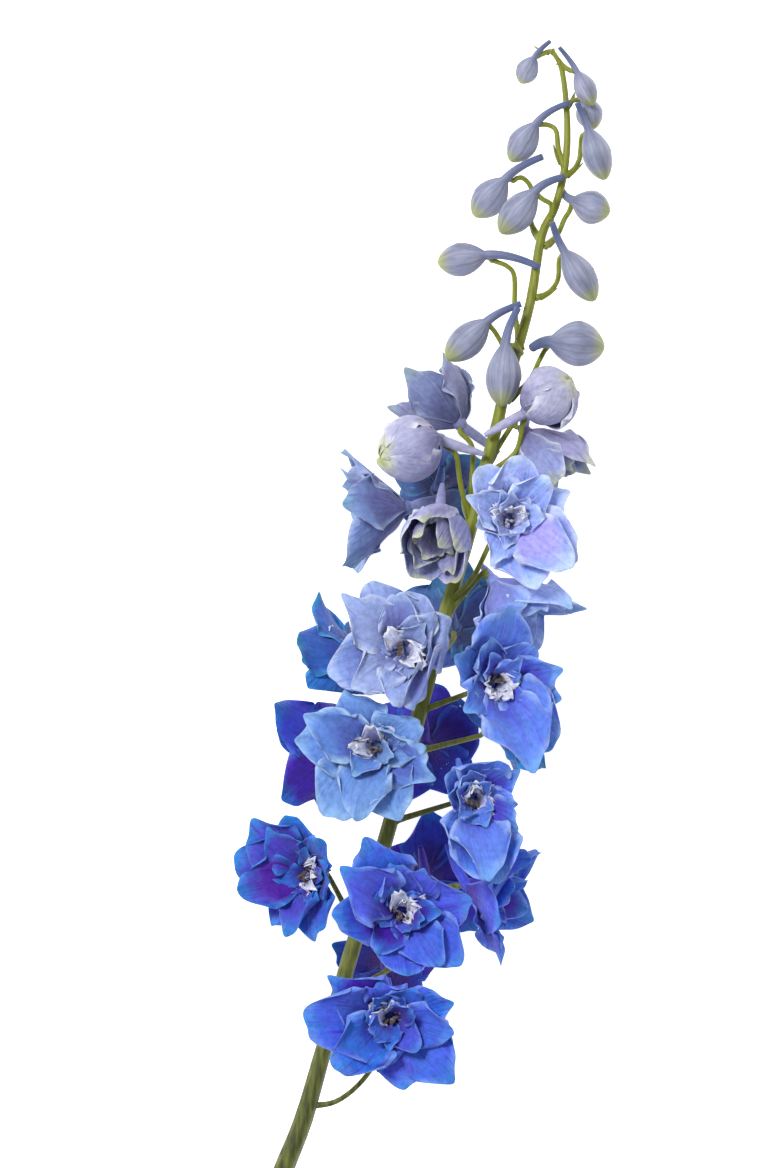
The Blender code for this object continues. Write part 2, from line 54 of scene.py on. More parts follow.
# Neighbouring parts keep this much room, and spurs and petals stay this far off the stem's skin.
ROOM = 0.3
STEM_CLEAR = 3.2
Bud = namedtuple("Bud", "spur neck tip radius stalk")
Bloom = namedtuple(
    "Bloom", "base facing length opening turn inner tone spur stalk petals", defaults=(None, None, None)
)

# The middle line with its radius, from the cut end to the tip.
STEM = [
    (-46.2, -175.2, 31.0, 3.1),
    (-42.0, -163.2, 31.0, 3.0),
    (-36.3, -148.8, 31.0, 2.8),
    (-30.2, -127.8, 31.0, 2.5),
    (-22.5, -100.8, 31.0, 2.4),
    (-10.8, -61.8, 31.0, 2.3),
    (-3.6, -34.8, 31.0, 2.3),
    (1.2, -16.8, 30.5, 2.2),
    (6.6, 3.6, 30.0, 2.2),
    (13.8, 28.2, 28.5, 2.0),
    (17.4, 43.2, 27.5, 1.9),
    (21.9, 59.7, 26.0, 1.8),
    (23.6, 67.2, 25.2, 1.75),
    (27.4, 80.1, 24.0, 1.6),
    (32.1, 97.2, 21.0, 1.45),
    (35.4, 116.7, 18.5, 1.3),
    (39.6, 125.7, 17.5, 1.2),
    (42.6, 138.3, 16.0, 1.1),
    (43.2, 152.1, 15.0, 0.95),
    (41.7, 166.8, 14.0, 0.8),
    (39.0, 172.5, 13.5, 0.7),
]

# A bud runs from the end of its spur through the neck, where it hangs, to its tip. The stalk
# starts on the stem and ends at the neck.
BUDS = [
    Bud(
        (38.1, 175.6, 15.5),
        (33.4, 170.8, 13.0),
        (29.2, 163.2, 11.0),
        3.3,
        [(39.0, 172.5, 13.5), (37.4, 172.6, 12.6)],
    ),
    Bud(
        (40.8, 173.6, 18.0),
        (46.2, 166.2, 16.0),
        (51.0, 156.3, 17.0),
        3.3,
        [(40.6, 169.5, 14.0), (43.2, 167.4, 14.6)],
    ),
    Bud(
        (46.2, 163.4, 8.0),
        (48.6, 158.8, 9.0),
        (51.4, 149.4, 9.0),
        4.0,
        [(42.9, 155.4, 14.8), (44.4, 157.6, 12.4)],
    ),
    Bud(
        (43.8, 156.9, 19.0),
        (33.8, 150.6, 15.0),
        (26.2, 139.5, 13.0),
        4.3,
        [(42.4, 137.5, 16.0), (40.6, 143.0, 15.4), (39.9, 148.6, 15.0), (37.6, 150.4, 14.2)],
    ),
    Bud(
        (46.2, 156.9, 16.8),
        (49.6, 148.9, 14.5),
        (54.7, 134.0, 13.0),
        4.3,
        [(41.8, 134.5, 16.3), (45.6, 137.4, 15.4), (47.4, 142.0, 11.6), (47.6, 146.4, 12.0)],
    ),
    Bud(
        (35.7, 140.7, 17.5),
        (24.4, 133.8, 14.5),
        (15.2, 122.9, 14.0),
        5.0,
        [
            (35.4, 115.2, 18.5), (32.2, 121.5, 14.5), (32.6, 130.6, 13.4), (30.0, 134.4, 13.4),
            (27.4, 134.2, 13.6),
        ],
    ),
    Bud(
        (42.3, 134.6, 20.5),
        (33.2, 129.9, 21.0),
        (23.1, 117.6, 22.0),
        5.0,
        [(38.1, 121.6, 18.0), (38.4, 126.0, 19.3), (35.8, 127.8, 20.0)],
    ),
    Bud(
        (41.6, 131.0, 11.5),
        (45.0, 127.6, 16.5),
        (56.0, 123.8, 17.0),
        5.0,
        [(36.4, 113.6, 18.8), (40.2, 117.2, 15.6), (42.4, 122.0, 15.0), (43.8, 124.2, 15.0)],
    ),
    Bud(
        (38.6, 120.6, 22.3),
        (42.4, 111.9, 18.5),
        (51.4, 97.3, 18.0),
        4.6,
        [(33.6, 98.1, 20.8), (37.6, 99.8, 19.0), (40.4, 103.8, 15.6), (40.8, 109.6, 15.2)],
    ),
    Bud(
        (34.8, 107.2, 24.2),
        (18.4, 110.9, 21.0),
        (4.2, 108.7, 20.0),
        5.0,
        [
            (29.2, 82.4, 23.6), (27.4, 93.6, 19.6), (27.3, 104.2, 19.4), (25.2, 107.6, 19.2),
            (21.4, 109.2, 19.4),
        ],
    ),
    Bud(
        (29.2, 96.2, 24.6),
        (18.8, 90.7, 25.0),
        (6.8, 79.5, 27.5),
        4.9,
        [(26.2, 73.4, 24.6), (24.2, 82.2, 23.0), (21.6, 87.4, 23.4)],
    ),
    Bud(
        (28.2, 94.8, 28.5),
        (24.4, 83.7, 31.0),
        (23.3, 65.2, 34.0),
        5.2,
        [(28.9, 81.4, 24.0), (27.8, 83.4, 28.4)],
    ),
    Bud(
        (32.6, 83.0, 26.6),
        (38.2, 84.8, 22.5),
        (54.3, 83.2, 21.0),
        6.8,
        [(24.8, 66.6, 25.6), (31.4, 72.8, 25.4), (34.8, 79.4, 20.9), (36.2, 82.0, 20.7)],
    ),
]

# A floret's base is its receptacle. Opening runs from 0, a bud that parts, to 1, wide open.
# Turn is how far round its petals start in degrees, and inner counts the petals within the outer
# five. Tone runs from 0, the pale lilac of the top, to 1, the royal blue of the bottom, and says
# whether the anthers are ripe. Spur is where the spur ends and stalk the points that the stalk
# runs through, where they aren't worked out. Petals give the turn and the reach of each petal of
# the outer and the inner ring, where the eye sees them.
BLOOMS = {
    "bud_14": Bloom(
        (31.0, 63.8, 31.5), (0.75, 0.5, 0.4), 25, -0.02, 0, 2, 0.0, (18.2, 56.6, 31.8),
        [(17.6, 44.0, 27.5), (27.3, 51.3, 27.0), (29.6, 60.0, 29.0)],
    ),
    "bloom_01": Bloom(
        (3.9, 55.2, 33.0), (-0.88, -0.25, 0.4), 26, 0.04, 0, 2, 0.04, (18.0, 50.9, 32.4),
        [(14.2, 30.5, 28.5), (11.0, 41.8, 30.0), (9.6, 50.6, 30.0), (6.2, 53.4, 28.4)],
    ),
    "bloom_02": Bloom((30.6, 57.6, 23.0), (0.6, -0.78, 0.1), 22, 0.42, 18, 3, 0.15),
    "bloom_03": Bloom(
        (10.8, 60.3, 20.0), (-0.6, 0.66, -0.42), 21, 0.45, 0, 3, 0.24, (22.6, 51.4, 20.0),
        [(13.4, 30.0, 28.2), (14.2, 42.0, 25.0), (14.6, 53.0, 22.6)],
    ),
    "bloom_04": Bloom(
        (24.2, 31.0, 40.0), (0.2, 0.05, 0.95), 22, 0.9, -3, 5, 0.3, None,
        [(7.4, 6.6, 30.0), (14.4, 13.6, 34.0), (19.4, 23.6, 37.0)],
        petals=(
            [(-5, 19.5), (36, 19), (200, 20), (243, 22.5), (291, 17)],
            [(64, 15), (104, 11), (158, 14), (222, 20), (318, 15)],
        ),
    ),
    "bloom_05": Bloom((-5.2, 35.0, 17.0), (-0.95, -0.1, -0.05), 24, 0.7, 0, 4, 0.35, (5.0, 38.2, 20.0)),
    "bloom_06": Bloom((4.5, 32.4, 38.0), (-0.05, -0.55, 0.8), 24, 0.45, 0, 4, 0.15, (5.5, 42.0, 33.0)),
    "bloom_07": Bloom((21.0, 12.6, 33.0), (0.58, -0.78, 0.25), 26, 0.6, 20, 4, 0.45, (17.5, 17.5, 27.0)),
    "bloom_08": Bloom((4.2, 40.5, 12.0), (-0.1, 0.25, -0.95), 18, 0.9, 0, 2, 0.4),
    "bloom_09": Bloom((9.3, -1.0, 12.0), (0.1, 0.3, -0.95), 21, 0.9, 0, 2, 0.5),
    "bloom_10": Bloom((-19.0, -8.5, 17.0), (-0.75, -0.2, -0.5), 20.5, 0.95, 0, 3, 0.6),
    "bloom_11": Bloom(
        (-5.4, -8.1, 43.0), (-0.12, 0.05, 0.98), 24, 0.95, 25, 5, 0.45,
        petals=(
            [(20, 22.5), (111, 22.5), (222, 25), (277, 23), (340, 19)],
            [(52, 21), (5, 17), (130, 18.5), (183, 18.5), (285, 18)],
        ),
    ),
    "bloom_12": Bloom(
        (19.0, -17.4, 39.0), (0.38, 0.0, 0.92), 23, 0.85, -30, 5, 0.6,
        petals=(
            [(-3, 22.5), (62, 17), (212, 23), (256, 18.5), (312, 16)],
            [(24, 14), (118, 16), (184, 24), (232, 18), (285, 16)],
        ),
    ),
    "bloom_13": Bloom(
        (-13.5, -36.6, 43.0), (-0.2, 0.0, 0.97), 22, 1.0, 25, 5, 0.55,
        petals=(
            [(21, 19), (88, 22), (152, 24), (203, 22.5), (311, 19)],
            [(60, 20), (167, 20), (183, 14), (246, 20), (276, 17)],
        ),
    ),
    "bloom_14": Bloom((-21.5, -37.5, 18.0), (-0.7, 0.05, -0.5), 25, 0.9, 10, 3, 0.9),
    "bloom_15": Bloom(
        (12.8, -51.6, 41.0), (0.3, -0.12, 0.94), 20, 0.85, 24, 5, 0.65,
        petals=(
            [(-8, 18), (52, 12), (160, 19), (192, 23.5), (302, 14)],
            [(75, 11), (22, 12), (176, 20), (232, 13), (272, 12)],
        ),
    ),
    "bloom_16": Bloom((20.0, -31.5, 18.0), (0.75, 0.1, -0.45), 19, 0.85, 0, 3, 0.75),
    "bloom_17": Bloom((0.5, -36.0, 11.0), (0.05, 0.0, -1.0), 22, 0.95, 0, 3, 0.9),
    "bloom_18": Bloom(
        (-31.4, -74.8, 29.0), (-0.48, -0.05, 0.77), 22, 0.9, -4, 5, 0.85, (-31.5, -66.0, 20.0),
        petals=(
            [(10, 18.5), (46, 21.5), (77, 21.8), (142, 17), (198, 19)],
            [(30, 16), (104, 19), (172, 17), (258, 15), (318, 16)],
        ),
    ),
    "bloom_19": Bloom(
        (-7.2, -85.5, 43.0), (0.08, -0.05, 0.98), 23, 0.95, 22, 5, 0.9,
        petals=(
            [(25, 24), (86, 20.5), (186, 21), (228, 23), (285, 20.5)],
            [(50, 22.5), (4, 17), (150, 14), (207, 18), (330, 17)],
        ),
    ),
    "bloom_20": Bloom((13.5, -78.5, 27.0), (0.85, -0.25, 0.25), 23, 0.75, 36, 4, 0.95),
    "bloom_21": Bloom(
        (-10.2, -117.0, 43.0), (0.05, -0.08, 0.97), 24, 0.95, -20, 5, 1.0, None,
        [(-35.4, -144.6, 31.0), (-26.5, -143.2, 31.6), (-18.5, -136.8, 34.0), (-12.5, -127.0, 38.5)],
        petals=(
            [(50, 22.5), (86, 27), (194, 20), (230, 24), (290, 18)],
            [(12, 16), (-26, 14), (124, 22.5), (165, 15), (264, 18)],
        ),
    ),
    "bloom_22": Bloom((1.0, -77.0, 12.0), (0.2, 0.0, -0.97), 20, 0.95, 0, 2, 0.95),
    "bloom_23": Bloom((-11.0, -103.0, 11.5), (0.0, -0.1, -0.99), 18, 0.9, 0, 2, 1.0),
}


def nearest_on(path, p):
    """For each point of p, how far a line's nearest point is, that point, and the radius there."""
    path, p = np.array(path, float), np.atleast_2d(p)
    start, run = path[:-1, :3], np.diff(path[:, :3], axis=0)
    t = (((p[:, None] - start) * run).sum(2) / (run**2).sum(1)).clip(0, 1)
    at = start + run * t[..., None]
    far = np.linalg.norm(p[:, None] - at, axis=2)
    best, row = far.argmin(1), np.arange(len(p))
    radius = path[best, 3] + (path[best + 1, 3] - path[best, 3]) * t[row, best]
    return far[row, best], at[row, best], radius


def clear_of(p, path, clear):
    """p moved straight out from a line of round section, if it is nearer than clear to its skin."""
    far, at, radius = nearest_on(path, p)
    if far[0] >= radius[0] + clear:
        return p
    at = Vector(at[0])
    return at + (p - at).normalized() * (radius[0] + clear)


def bend(points, steps):
    """A smooth curve through points, with steps pieces between each two."""
    points = [Vector(p) for p in points]
    ends = [points[0] * 2 - points[1]] + points + [points[-1] * 2 - points[-2]]
    line = []
    for a, b, c, d in zip(ends, ends[1:], ends[2:], ends[3:]):
        for i in range(steps):
            t = i / steps
            squared = (a * 2 - b * 5 + c * 4 - d) * t**2
            cubed = (b * 3 - a - c * 3 + d) * t**3
            line.append((b * 2 + (c - a) * t + squared + cubed) / 2)
    return line + [points[-1]]


def bud_line(bud, rings):
    """The line that a bud follows from its spur's end to its tip, with its radius at each point.

    The spur bends into the bud's own line and thickens towards it. The body is a plump spindle.
    """
    spur, neck, tip = Vector(bud.spur), Vector(bud.neck), Vector(bud.tip)
    knee = neck - (tip - neck).normalized() * (neck - spur).length * 0.4
    line = []
    for i in range(rings):
        s = i / rings
        p = spur * (1 - s) ** 2 + knee * 2 * s * (1 - s) + neck * s * s
        line.append((*p, bud.radius * (0.2 + 0.09 * s)))
    for i in range(2 * rings + 1):
        s = i / (2 * rings)
        plump = math.sin(math.pi * (0.04 + 0.95 * s**1.1)) ** 0.6
        line.append((*neck.lerp(tip, s), bud.radius * plump))
    return line


def frame_of(bloom):
    """A floret's base, the way it faces, and its top and side across that way."""
    facing = Vector(bloom.facing).normalized()
    side = facing.cross(Vector((0.0, 1.0, 0.0))).normalized()
    return Vector(bloom.base), facing, side.cross(facing), side


def spur_line(bloom):
    """The points of a spur from inside the receptacle back to its end."""
    base, facing, up, side = frame_of(bloom)
    if bloom.spur:
        end = Vector(bloom.spur)
        middle = base.lerp(end, 0.45)
    else:
        # It goes back 10 mm and rises as much, and stays clear of the stem.
        end = clear_of(base - facing * 10 + up * 10, STEM, STEM_CLEAR)
        middle = base - facing * 5 + up * 4
    return [base - facing * 0.8, middle, middle.lerp(end, 0.6), end]


def stalk_of(bloom):
    """A stalk's points from the stem up into the back of a floret, beside its spur."""
    base, facing, up, side = frame_of(bloom)
    if bloom.stalk:
        points = [Vector(p) for p in bloom.stalk]
    else:
        # It leaves the stem 14 mm lower down and comes in 6 mm behind the base.
        neck = base - facing * 6
        neck.y -= 2
        foot = nearest_on(STEM, (base.x, base.y - 14, base.z))[1][0]
        points = [Vector(foot), neck]
    hub = base - facing * 1.6
    tail = (spur_line(bloom)[1] - hub).normalized()
    aside = points[-1] - hub
    aside -= tail * aside.dot(tail)
    return [*points, hub + aside.normalized() * 2.2, hub]


def close_rings(bm, rings):
    """Faces round rings of as many points each, and one across each end."""
    for low, high in zip(rings, rings[1:]):
        for k in range(len(low)):
            after = (k + 1) % len(low)
            bm.faces.new((low[k], low[after], high[after], high[k]))
    bm.faces.new(rings[0][::-1])
    bm.faces.new(rings[-1])


def sleeve(bm, line, radii, sides, form=None, mark=None):
    """A closed tube along a line.

    form(angle, share) scales its radius there, and mark(angle, share) is what the material reads.
    """
    tag = bm.verts.layers.float_vector.get("place") or bm.verts.layers.float_vector.new("place")
    across, rings = None, []
    last = len(line) - 1
    for i, (p, radius) in enumerate(zip(line, radii)):
        along = (line[min(i + 1, last)] - line[max(i - 1, 0)]).normalized()
        across = along.orthogonal() if across is None else across - along * across.dot(along)
        across.normalize()
        over = along.cross(across)
        ring = []
        for k in range(sides):
            angle = math.tau * k / sides
            out = radius * (form(angle, i / last) if form else 1)
            spot = p + (across * math.cos(angle) + over * math.sin(angle)) * out
            vert = bm.verts.new(spot * MM)
            vert[tag] = mark(angle, i / last) if mark else (i / last, 0, 0)
            ring.append(vert)
        rings.append(ring)
    close_rings(bm, rings)


def bract(bm, root, along, across):
    """A narrow leaf with a keel, closed, from its root outwards."""
    length, width, thickness, curl, keel, steps = 6.5, 1.5, 0.3, 0.06, 0.5, 6
    over = along.cross(across).normalized()
    rows = []
    for i in range(steps + 1):
        s = i / steps
        half = width / 2 * (math.sin(math.pi * min(0.12 + 0.88 * s, 0.985))) ** 0.8
        middle = root + along * (length * s) + over * (curl * length * s * s)
        row = []
        for v, h in ((-1, 0), (0, 0), (1, 0), (1, 1), (0, 1), (-1, 1)):
            spot = middle + across * (v * half) + over * (abs(v) * half * keel + h * thickness)
            row.append(bm.verts.new(spot * MM))
        rows.append(row)
    close_rings(bm, rows)


def piece(name, bm, *materials):
    """A smooth object from bm that rides on the spike's one body."""
    bmesh.ops.recalc_face_normals(bm, faces=bm.faces)
    mesh = bpy.data.meshes.new(name)
    bm.to_mesh(mesh)
    bm.free()
    for material in materials:
        mesh.materials.append(material)
    mesh.shade_smooth()
    thing = bpy.data.objects.new(name, mesh)
    bpy.context.scene.collection.objects.link(thing)
    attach(thing, "root")
    return thing


def linear(code):
    """The linear colour of an sRGB hex value."""
    parts = [int(code[i : i + 2], 16) / 255 for i in (1, 3, 5)]
    return [c / 12.92 if c <= 0.04045 else ((c + 0.055) / 1.055) ** 2.4 for c in parts] + [1.0]


def add(tree, kind, settings=None, links=None):
    """A node of a kind with its settings and links.

    A setting or a link goes by an input's name or number, or a setting by the node's own field.
    """
    node = tree.nodes.new("ShaderNode" + kind)
    for name, value in (settings or {}).items():
        if isinstance(name, int) or name in node.inputs:
            node.inputs[name].default_value = value
        else:
            setattr(node, name, value)
    for name, socket in (links or {}).items():
        tree.links.new(socket, node.inputs[name])
    return node


def living(name, roughness, down, glow, glow_depth):
    """A plant material, with its tree and shader.

    Down is the velvet on its skin, and glow the light that passes through thin tissue, this deep.
    """
    material = bpy.data.materials.new(name)
    material.use_nodes = True
    tree = material.node_tree
    shader = tree.nodes["Principled BSDF"]
    shader.inputs["Roughness"].default_value = roughness
    # Leaf wax and cell water bend light a little less than glass does.
    shader.inputs["IOR"].default_value = 1.42
    shader.inputs["Specular IOR Level"].default_value = 0.35
    shader.inputs["Sheen Weight"].default_value = down
    shader.inputs["Sheen Roughness"].default_value = 0.5
    shader.inputs["Subsurface Weight"].default_value = glow
    shader.inputs["Subsurface Radius"].default_value = (0.6, 0.7, 1.0)
    shader.inputs["Subsurface Scale"].default_value = glow_depth * MM
    return material, tree, shader


# Fresh stem tissue: a waxy skin over soft green, with pale streaks along it and down that takes
# the gloss off it. It darkens from olive yellow at the tip to bottle green at the cut.
def green_tissue(name):
    material, tree, shader = living(name, 0.5, 0.25, 0.15, 1.5)
    spot = add(tree, "TexCoord")
    height = add(tree, "SeparateXYZ", links={"Vector": spot.outputs["Object"]})
    # The skin is old below y = -160 mm and young above y = 20 mm.
    young = add(
        tree, "MapRange", {"From Min": -160 * MM, "From Max": 20 * MM},
        {"Value": height.outputs["Y"]},
    )
    skin = add(
        tree, "Mix", {"data_type": "RGBA", 6: linear("#323C10"), 7: linear("#727A12")},
        {0: young.outputs["Result"]},
    )
    # The pale streaks are 1.1 mm wide and 9 mm long, and darker patches are 11 mm across.
    stretched = add(
        tree, "Mapping", {"Scale": (1.0, 0.12, 1.0)}, {"Vector": spot.outputs["Object"]}
    )
    streaks = add(
        tree, "TexNoise", {"Scale": 0.9 / MM, "Detail": 3.0},
        {"Vector": stretched.outputs["Vector"]},
    )
    streak = add(
        tree, "MapRange", {"From Min": 0.35, "From Max": 0.7, "To Max": 0.3},
        {"Value": streaks.outputs["Fac"]},
    )
    streaked = add(
        tree, "Mix", {"data_type": "RGBA", 7: linear("#B4B552")},
        {0: streak.outputs["Result"], 6: skin.outputs[2]},
    )
    patches = add(
        tree, "TexNoise", {"Scale": 0.09 / MM, "Detail": 2.0}, {"Vector": spot.outputs["Object"]}
    )
    patch = add(
        tree, "MapRange", {"From Min": 0.5, "From Max": 0.75, "To Max": 0.4},
        {"Value": patches.outputs["Fac"]},
    )
    patched = add(
        tree, "Mix", {"data_type": "RGBA", 7: linear("#3F4A12")},
        {0: patch.outputs["Result"], 6: streaked.outputs[2]},
    )
    bumps = add(
        tree, "Bump", {"Strength": 0.25, "Distance": 0.2 * MM}, {"Height": streaks.outputs["Fac"]}
    )
    tree.links.new(patched.outputs[2], shader.inputs["Base Color"])
    tree.links.new(bumps.outputs["Normal"], shader.inputs["Normal"])
    return material


stem_green = green_tissue("fresh_stem_tissue")
bm = bmesh.new()
RIBS, RIB_HEIGHT = 9, 0.035
axis = bend([p[:3] for p in STEM], 4)
thick = np.interp(np.linspace(0, len(STEM) - 1, len(axis)), range(len(STEM)), [p[3] for p in STEM])
sleeve(bm, axis, thick, 4 * RIBS, lambda angle, share: 1 + RIB_HEIGHT * math.cos(RIBS * angle))
bud_lines = [bud_line(bud, 3) for bud in BUDS]
stalks = []
for bud in BUDS:
    neck, last = Vector(bud.neck), Vector(bud.stalk[-1])
    stalks.append([*map(Vector, bud.stalk), neck + (last - neck).normalized() * bud.radius * 0.2])
stalks += [stalk_of(bloom) for bloom in BLOOMS.values()]
for stalk in stalks:
    line = bend(stalk, 5)
    for path in bud_lines:
        line[1:-3] = [clear_of(p, path, STALK_RADIUS + ROOM) for p in line[1:-3]]
    # A stalk swells where it leaves the stem, and a little where it meets its flower.
    share = np.linspace(0, 1, len(line))
    radii = STALK_RADIUS * (0.95 + 0.55 * np.exp(-share * 9) + 0.12 * np.exp(-(1 - share) * 10))
    sleeve(bm, line, radii, 12)
    way = (line[2] - line[0]).normalized()
    under = way.cross(Vector((0, 1, 0))).normalized()
    root = line[0] + way * 1.2 - under.cross(way) * 0.9
    bract(bm, root, (way + Vector((0, 0.4, 0))).normalized(), under)
stem = piece("stem_and_stalks", bm, stem_green)
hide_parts("stem")

# Buds. Five sepals folded over one another round a hollow spur, closed to a point that is still
# green. The skin is lilac grey with a blue bloom, veined along the sepals and velvety.
def bud_skin(name):
    material, tree, shader = living(name, 0.55, 0.2, 0.1, 0.8)
    # Place holds how far along the bud a point is, and how far round it.
    place = add(tree, "Attribute", {"attribute_name": "place"})
    axes = add(tree, "SeparateXYZ", links={"Vector": place.outputs["Vector"]})
    spot = add(tree, "TexCoord")
    # The body is clouded over about 6 mm, and the spur is bluer.
    cloud = add(
        tree, "TexNoise", {"Scale": 0.16 / MM, "Detail": 3.0}, {"Vector": spot.outputs["Object"]}
    )
    body = add(
        tree, "Mix", {"data_type": "RGBA", 6: linear("#A7A9BE"), 7: linear("#707896")},
        {0: cloud.outputs["Fac"]},
    )
    spur = add(
        tree, "MapRange", {"From Min": 0.08, "From Max": 0.5, "To Min": 1.0, "To Max": 0.0},
        {"Value": axes.outputs["X"]},
    )
    spurred = add(
        tree, "Mix", {"data_type": "RGBA", 7: linear("#55628A")},
        {0: spur.outputs["Result"], 6: body.outputs[2]},
    )
    # Real veins stand 0.7 mm apart, which is too fine to show. These stand 1.8 mm apart: 35 rises
    # and falls make 17 veins round the bud, and they sway over 3 mm.
    wander = add(
        tree, "TexNoise", {"Scale": 0.3 / MM, "Detail": 2.0}, {"Vector": spot.outputs["Object"]}
    )
    swayed = add(
        tree, "Math", {"operation": "MULTIPLY_ADD", 1: 0.035},
        {0: wander.outputs["Fac"], 2: axes.outputs["Y"]},
    )
    turned = add(tree, "Math", {"operation": "MULTIPLY", 1: 35.0}, {0: swayed.outputs[0]})
    wave = add(tree, "Math", {"operation": "PINGPONG", 1: 1.0}, {0: turned.outputs[0]})
    vein = add(
        tree, "MapRange", {"From Min": 0.66, "From Max": 1.0, "To Max": 0.35},
        {"Value": wave.outputs[0]},
    )
    veined = add(
        tree, "Mix", {"data_type": "RGBA", 7: linear("#5F6088")},
        {0: vein.outputs["Result"], 6: spurred.outputs[2]},
    )
    tip = add(
        tree, "MapRange", {"From Min": 0.8, "From Max": 0.96, "To Max": 0.85},
        {"Value": axes.outputs["X"]},
    )
    tipped = add(
        tree, "Mix", {"data_type": "RGBA", 7: linear("#9CA255")},
        {0: tip.outputs["Result"], 6: veined.outputs[2]},
    )
    # Streaks of light and dark, 2.4 mm wide, run from the spur to the tip with the sepals' folds.
    # They are partly the sepals' own tone and partly painted light and shade on the folds.
    drawn = add(tree, "Mapping", {"Scale": (2.0, 13.0, 5.0)}, {"Vector": place.outputs["Vector"]})
    streaks = add(
        tree, "TexNoise", {"Scale": 1.0, "Detail": 4.0, "Roughness": 0.6},
        {"Vector": drawn.outputs[0]},
    )
    light = add(
        tree, "MapRange", {"From Min": 0.3, "From Max": 0.7, "To Min": 0.68, "To Max": 1.3},
        {"Value": streaks.outputs["Fac"]},
    )
    mottled = add(
        tree, "HueSaturation", links={"Value": light.outputs[0], "Color": tipped.outputs[2]}
    )
    bumps = add(tree, "Bump", {"Strength": 0.3, "Distance": 0.25 * MM}, {"Height": wave.outputs[0]})
    tree.links.new(mottled.outputs["Color"], shader.inputs["Base Color"])
    tree.links.new(bumps.outputs["Normal"], shader.inputs["Normal"])
    return material


def folded(angle, share):
    """Five sepals lie over one another like a pinwheel, least at the spur and the very tip."""
    lap = (5 * angle / math.tau + 0.35 * share) % 1
    step = 0.07 * (lap - 0.5) + 0.045 * math.cos(math.tau * lap)
    return 1 + step * math.sin(math.pi * min(max(share * 1.25 - 0.25, 0), 1)) ** 0.5


bud_velvet = bud_skin("velvet_sepal_of_bud")
for number, bud in enumerate(BUDS, start=1):
    line = bud_line(bud, 14)
    bm = bmesh.new()
    sleeve(
        bm, [Vector(p[:3]) for p in line], [p[3] for p in line], 40, folded,
        lambda angle, share: (share, angle / math.tau, 0),
    )
    sepals = piece(f"bud_{number:02d}_sepals", bm, bud_velvet)
    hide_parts(f"bud_{number:02d}")

# Florets. Five broad sepals, the top one with the spur, stand round a ring of inner petals. They
# are thin sheets, waved at the edge, pale lilac on the young florets and royal blue with a violet
# throat on the old ones, and painted shade deepens every throat. Each bends out of the way of its
# neighbours.

# Pairs that the eye sees one over the other: the first floret's petals lie over the second's.
OVERLAPS = [
    ("bloom_01", "bloom_05"), ("bloom_04", "bloom_07"), ("bloom_06", "bloom_05"),
    ("bloom_04", "bloom_06"), ("bloom_12", "bloom_07"), ("bloom_12", "bloom_11"),
    ("bloom_11", "bloom_13"), ("bloom_13", "bloom_15"), ("bloom_12", "bloom_15"),
    ("bloom_15", "bloom_19"), ("bloom_15", "bloom_20"), ("bloom_19", "bloom_18"),
    ("bloom_19", "bloom_20"), ("bloom_19", "bloom_21"),
]
# How far the plane between two such florets leans, so that one slides over the other.
OVERLAP_TILT = 0.8
# The middle of a floret lies this far in front of its base, and its neighbours reach this many
# petal lengths.
HEART = 8.0
REACH = 1.9
# Petals bend away from what they meet over about this length, and none stands higher than the
# ceiling or lies lower than the floor.
SOFTNESS = 1.0
CEILING = 62.0
FLOOR = 0.35
# Half the thickness of the solids' petals, and how far a petal stays off a bud's skin.
HALF_SHEET = 0.35
BUD_CLEAR = 1.2
# Petals start on a ring of this radius, and the inner ones this far in front of the outer ones.
RING = 1.9
INNER_LAYER = 1.7
# The stem and the lowest buds, which hang among the florets.
OBSTACLES = [(STEM, STEM_CLEAR)] + [(line, BUD_CLEAR) for line in bud_lines[9:]]


def heart(bloom):
    return Vector(bloom.base) + Vector(bloom.facing).normalized() * HEART


def walls_of(name):
    """The planes, as a point and a normal outwards, that a floret's neighbours press it behind."""
    walls = []
    here = heart(BLOOMS[name])
    for other, bloom in BLOOMS.items():
        gap = heart(bloom) - here
        if other == name or gap.length > REACH * (bloom.length + BLOOMS[name].length) / 2:
            continue
        share = BLOOMS[name].length / (bloom.length + BLOOMS[name].length)
        normal = gap.normalized()
        if (name, other) in OVERLAPS:
            normal.z -= OVERLAP_TILT
        if (other, name) in OVERLAPS:
            normal.z += OVERLAP_TILT
        walls.append((np.array(here + gap * share), np.array(normal.normalized())))
    return walls


def soft(past):
    """How far a point moves that is this far past its limit. Well before the limit it stays."""
    return SOFTNESS * np.logaddexp(0, past / SOFTNESS)


def press(p, walls, layer):
    """Points of a petal moved to where the neighbours, the stem, the buds and the floor leave it."""
    for _ in range(3):
        for point, normal in walls:
            past = (p - point) @ normal + HALF_SHEET + ROOM + layer
            p = p - normal * soft(past)[:, None]
        for path, clear in OBSTACLES:
            far, at, radius = nearest_on(path, p)
            past = radius + clear + layer - far
            p = p + (p - at) * (soft(past) / np.maximum(far, 0.01))[:, None]
    p[:, 2] -= soft(p[:, 2] - CEILING)
    p[:, 2] = np.maximum(p[:, 2], FLOOR)
    return p


def swing(lean, flare, s):
    """How far out and how high a petal one long is at the shares s of its length, and its slope."""
    steps = 16
    middle = (np.arange(steps) + 0.5) / steps
    angle = np.radians(lean + (flare - lean) * np.atleast_1d(s)[:, None] * middle)
    return np.sin(angle).mean(1) * s, np.cos(angle).mean(1) * s, np.radians(lean + (flare - lean) * s)


